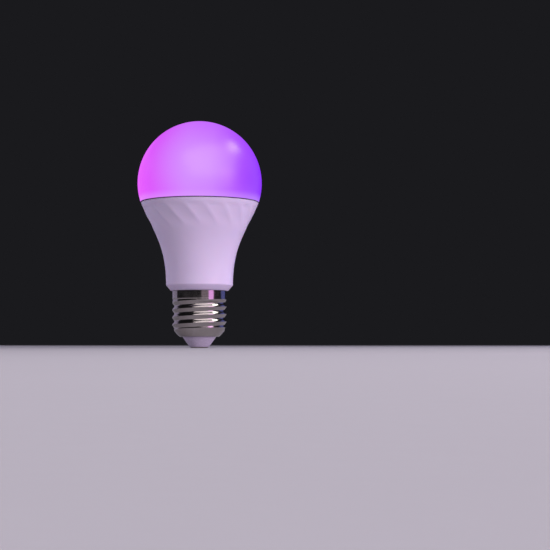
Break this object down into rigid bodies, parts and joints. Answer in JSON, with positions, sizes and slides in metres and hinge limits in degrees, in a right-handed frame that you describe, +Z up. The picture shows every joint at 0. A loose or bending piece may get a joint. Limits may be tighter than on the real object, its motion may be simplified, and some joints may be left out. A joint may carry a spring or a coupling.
{
  "type": "smart light bulb",
  "caption": "Screw-cap smart light bulb: opal dome, fluted plastic housing and metal cap around a light board, radio board and power supply.",
  "frame": {"origin": "centre of the contact's tip, at the bottom of the bulb", "axes": "+Z runs up the bulb's axis from the contact to the dome, -Y is the front, +X is to the right seen from the front"},
  "size_m": [0.06, 0.06, 0.1096],
  "materials": {
    "diffuser": "opal polycarbonate, satin, lit from inside in violet",
    "diffuser_seal": "dark grey silicone bead",
    "housing": "white moulded plastic, fine satin",
    "heat_spreader": "pressed sheet, bare",
    "screw_shell": "nickel plate, bright",
    "cap_insulator": "pale thermoset, slight gloss",
    "centre_contact": "nickel plate, bright",
    "thermal_pad": "grey filled silicone",
    "light_board": "white solder mask on aluminium",
    "board_screws": "zinc-plated steel",
    "white_led_frames": "white moulding",
    "white_led_phosphor": "yellow phosphor in silicone",
    "colour_led_frames": "white moulding",
    "colour_led_resin": "clear resin over the chips",
    "light_board_socket": "cream nylon",
    "light_board_pins": "gold-flashed brass",
    "pin_strip": "black nylon",
    "radio_board": "green solder mask on glass laminate",
    "radio_shield": "tinned steel can",
    "radio_pins": "gold-flashed brass",
    "radio_spacer": "black nylon",
    "driver_board": "green solder mask on glass laminate",
    "bulk_capacitor_can": "drawn can",
    "bulk_capacitor_sleeve": "black shrink sleeve",
    "output_capacitor_can": "drawn can",
    "output_capacitor_sleeve": "dark green shrink sleeve",
    "capacitor_bungs": "black rubber",
    "capacitor_leads": "tinned steel wire",
    "transformer_core": "dark ferrite",
    "transformer_bobbin": "black phenolic",
    "transformer_winding": "enamelled copper wire",
    "transformer_tape": "yellow polyester tape",
    "transformer_pins": "tinned steel",
    "choke_core": "dark ferrite",
    "choke_winding": "enamelled copper wire",
    "film_capacitor": "yellow moulded case",
    "varistor": "blue epoxy coat",
    "fuse_resistor": "green flameproof coat",
    "through_hole_leads": "tinned copper wire",
    "bridge_rectifier": "black moulding",
    "rectifier_legs": "tinned",
    "switching_chip": "black moulding",
    "dimming_chip": "black moulding",
    "chip_legs": "tinned",
    "chip_resistors": "glazed ceramic, dark",
    "chip_capacitors": "tan ceramic",
    "live_wire": "brown insulated wire",
    "neutral_wire": "blue insulated wire, bared at its end"
  },
  "bodies": {
    "root": {"diffuser": "diffuser", "diffuser_seal": "diffuser_seal", "housing": "housing", "heat_spreader": "heat_spreader", "screw_shell": "screw_shell", "cap_insulator": "cap_insulator", "centre_contact": "centre_contact", "thermal_pad": "thermal_pad", "light_board": "light_board", "board_screws": "board_screws", "white_led_frames": "white_led_frames", "white_led_phosphor": "white_led_phosphor", "colour_led_frames": "colour_led_frames", "colour_led_resin": "colour_led_resin", "light_board_socket": "light_board_socket", "light_board_pins": "light_board_pins", "pin_strip": "pin_strip", "radio_board": "radio_board", "radio_shield": "radio_shield", "radio_pins": "radio_pins", "radio_spacer": "radio_spacer", "driver_board": "driver_board", "bulk_capacitor_can": "bulk_capacitor_can", "bulk_capacitor_sleeve": "bulk_capacitor_sleeve", "output_capacitor_can": "output_capacitor_can", "output_capacitor_sleeve": "output_capacitor_sleeve", "capacitor_bungs": "capacitor_bungs", "capacitor_leads": "capacitor_leads", "transformer_core": "transformer_core", "transformer_bobbin": "transformer_bobbin", "transformer_winding": "transformer_winding", "transformer_tape": "transformer_tape", "transformer_pins": "transformer_pins", "choke_core": "choke_core", "choke_winding": "choke_winding", "film_capacitor": "film_capacitor", "varistor": "varistor", "fuse_resistor": "fuse_resistor", "through_hole_leads": "through_hole_leads", "bridge_rectifier": "bridge_rectifier", "rectifier_legs": "rectifier_legs", "switching_chip": "switching_chip", "dimming_chip": "dimming_chip", "chip_legs": "chip_legs", "chip_resistors": "chip_resistors", "chip_capacitors": "chip_capacitors", "live_wire": "live_wire", "neutral_wire": "neutral_wire"}
  },
  "joints": []
}
